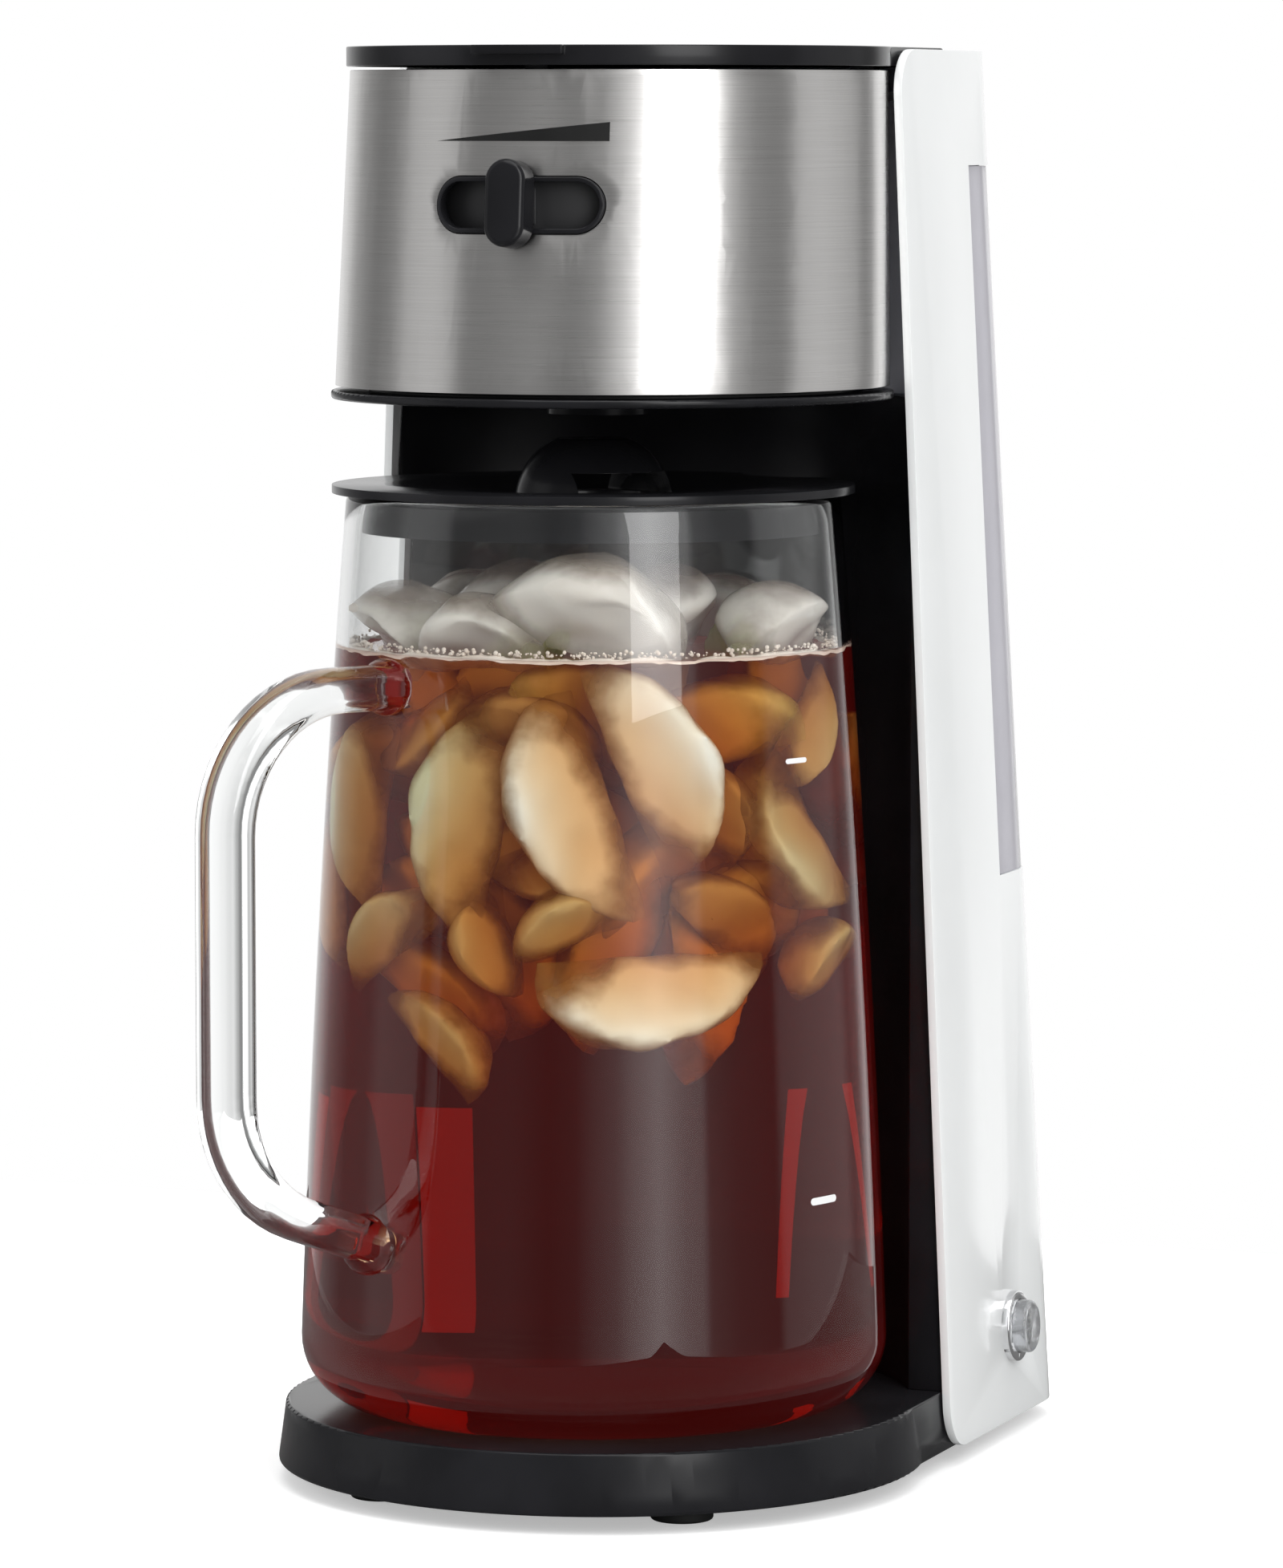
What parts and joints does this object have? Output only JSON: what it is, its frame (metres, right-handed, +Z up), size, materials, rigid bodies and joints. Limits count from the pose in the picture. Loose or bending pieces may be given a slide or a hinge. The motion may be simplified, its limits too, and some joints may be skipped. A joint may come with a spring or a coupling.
{
  "type": "iced tea maker",
  "caption": "Countertop brewer: white column with water tank, steel-banded brewing head with hinged lid and strength selector, and a lidded glass jug standing on a round base.",
  "frame": {"origin": "centre of the bounding box's bottom face, on the surface that the feet stand on", "axes": "+Z up along the column, +X to the machine's own right as seen from in front where the power button is, +Y to the back; the jug faces -Y"},
  "size_m": [0.1584, 0.2358, 0.337],
  "materials": {
    "black_satin": "satin",
    "black_matte": "matt",
    "white_gloss": "gloss",
    "brushed_steel": "brushed along the band",
    "bright_steel": "polished",
    "clear_plastic": "clear",
    "rubber": "matt",
    "silicone": "translucent",
    "tube_plastic": "satin",
    "aluminium": "cast",
    "mesh": "fine mesh",
    "ceramic": "glazed",
    "circuit_green": "lacquered",
    "jug_glass": "clear"
  },
  "bodies": {
    "machine": {"base": "black_satin", "column_front": "black_satin", "head_shelf": "black_satin", "base_cover": "black_matte", "head_housing": "black_matte", "drain_spout": "black_matte", "brew_basket": "black_matte", "top_deck": "black_matte", "cord_gland": "black_matte", "switch_body": "black_matte", "tank_outlet_valve": "black_matte", "outer_shell": "white_gloss", "steel_band": "brushed_steel", "slot_bezel": "bright_steel", "button_collar": "bright_steel", "lid_hinge_pin": "bright_steel", "base_screws": "bright_steel", "heater_water_pipe": "bright_steel", "heater_brackets": "bright_steel", "heating_element": "bright_steel", "fuse_clip": "bright_steel", "level_window": "clear_plastic", "water_tank": "clear_plastic", "rubber_feet": "rubber", "feed_hose": "silicone", "riser_hose": "silicone", "riser_tube": "tube_plastic", "heater_body": "aluminium", "thermostat": "aluminium", "tea_filter": "mesh", "thermal_fuse": "ceramic", "control_board": "circuit_green"},
    "lid": {"top_lid": "black_satin"},
    "selector": {"strength_knob": "black_satin", "strength_lever": "black_matte", "flow_disc": "black_matte"},
    "shower": {"shower_arm": "black_matte"},
    "button": {"power_button": "clear_plastic"},
    "jug": {"glass_jug": "jug_glass"},
    "jug_lid": {"jug_lid": "black_satin"}
  },
  "joints": [
    {"name": "lid_hinge", "type": "hinge", "parent": "machine", "child": "lid", "pos_m": [-0.00236, 0.05659, 0.3347], "axis": [-1, 0, 0], "range_deg": [0, 100]},
    {"name": "selector_turn", "type": "hinge", "parent": "machine", "child": "selector", "pos_m": [-0.00236, -0.01042, 0.3008], "axis": [0, 0, 1], "range_deg": [-14, 14]},
    {"name": "shower_swing", "type": "hinge", "parent": "machine", "child": "shower", "pos_m": [-0.05736, 0.05161, 0.3284], "axis": [0, 0, -1], "range_deg": [0, 33]},
    {"name": "button_press", "type": "slide", "parent": "machine", "child": "button", "axis": [-0.9992, 0, -0.039], "range_m": [0, 0.0015], "stiffness_N_per_m": 1000, "springref_m": -0.001},
    {"name": "jug_slide", "type": "slide", "parent": "machine", "child": "jug", "axis": [0, -1, 0], "range_m": [0, 0.18]},
    {"name": "jug_lid_turn", "type": "hinge", "parent": "jug", "child": "jug_lid", "pos_m": [-0.00236, -0.01541, 0.2353], "axis": [0, 0, 1], "continuous": true}
  ]
}
